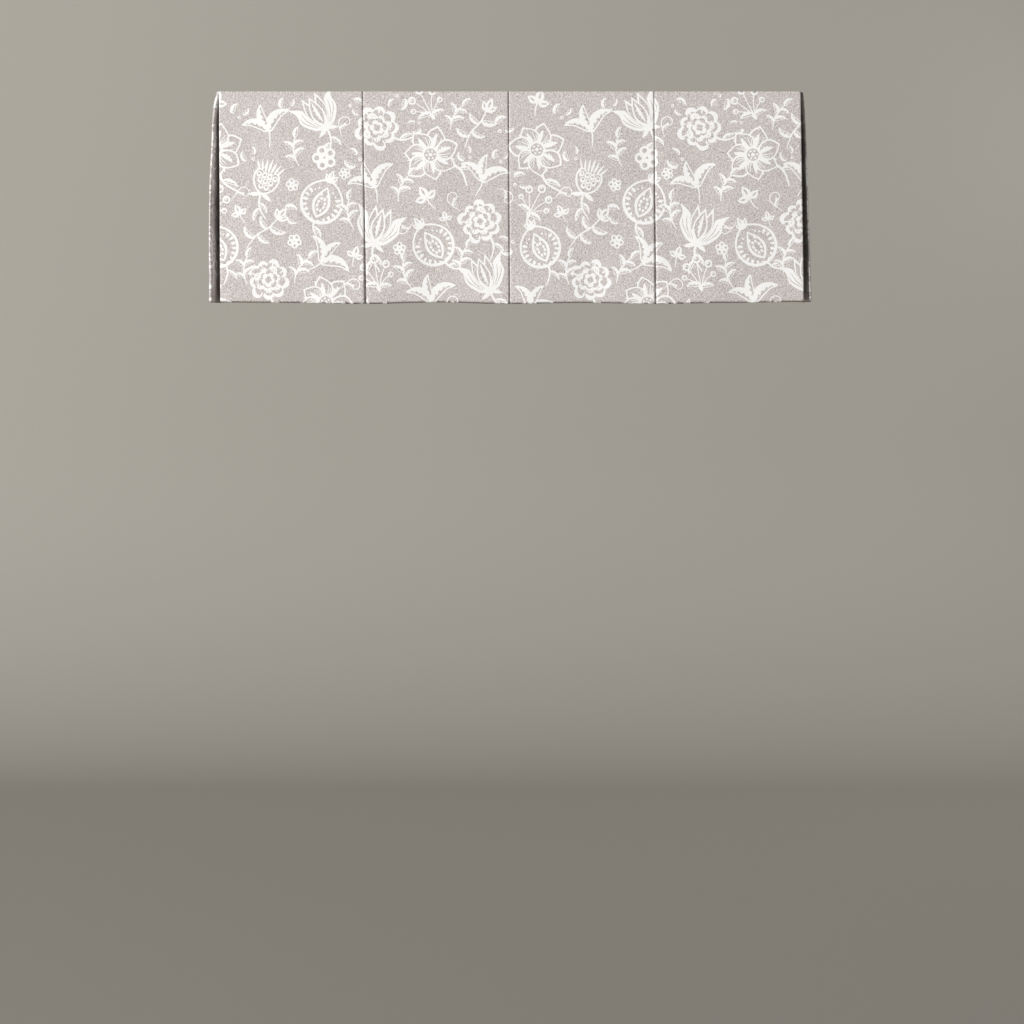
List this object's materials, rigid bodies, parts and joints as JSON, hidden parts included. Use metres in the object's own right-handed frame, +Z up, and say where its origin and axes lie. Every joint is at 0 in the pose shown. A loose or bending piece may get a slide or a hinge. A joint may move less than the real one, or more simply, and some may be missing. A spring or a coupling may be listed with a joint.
{
  "type": "box-pleated window valance",
  "caption": "Flat-panel window valance with inverted pleats and side returns, in a floral printed cloth, hung by its top edge from a board.",
  "frame": {"origin": "middle of the top edge of the cloth, in the plane of the front edge of the board it is fastened to", "axes": "+X to the right as seen from the room, +Y from the face towards the wall, +Z up"},
  "size_m": [1.1634, 0.1028, 0.409],
  "materials": {
    "face_cloth": "matt linen-look weave in warm grey with a white floral print",
    "underlay_cloth": "the same printed cloth, inside the pleats",
    "return_cloth": "the same printed cloth, at the sides"
  },
  "bodies": {
    "root": {"face_panel_1": "face_cloth", "face_panel_2": "face_cloth", "face_panel_3": "face_cloth", "face_panel_4": "face_cloth", "pleat_underlay_1": "underlay_cloth", "pleat_underlay_2": "underlay_cloth", "pleat_underlay_3": "underlay_cloth", "corner_underlay_left": "underlay_cloth", "corner_underlay_right": "underlay_cloth", "return_left": "return_cloth", "return_right": "return_cloth"}
  },
  "joints": []
}
